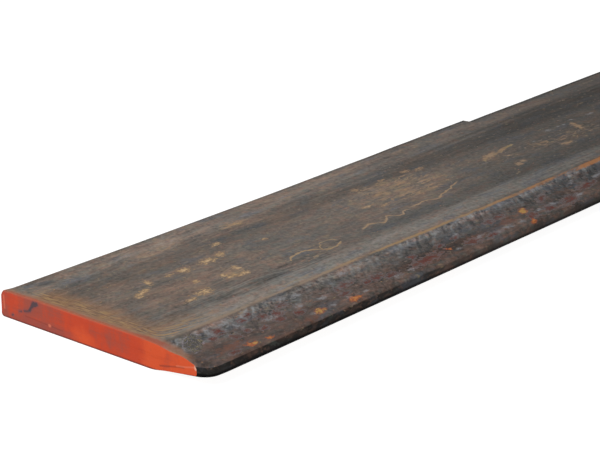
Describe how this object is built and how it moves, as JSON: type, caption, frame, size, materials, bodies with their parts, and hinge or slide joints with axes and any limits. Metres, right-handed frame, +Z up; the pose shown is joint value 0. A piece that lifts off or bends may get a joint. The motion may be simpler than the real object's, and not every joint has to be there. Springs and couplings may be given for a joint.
{
  "type": "bevelled-edge steel flat bar",
  "caption": "Hot-rolled steel flat bar, long edge bevelled on both sides to a blunt nose; stock for welding on as a wear, scraper or cutting edge.",
  "frame": {"origin": "centre of the footprint, on the plane of the underside", "axes": "+X along the bar, away from the painted end; +Y from the bevelled nose edge to the plain back edge; +Z up, out of the top face"},
  "size_m": [1, 0.15, 0.016],
  "materials": {
    "mill_scale_steel": "hot-rolled mill scale with light rust, one sheared end painted red"
  },
  "bodies": {
    "root": {"flat_bar": "mill_scale_steel"}
  },
  "joints": []
}
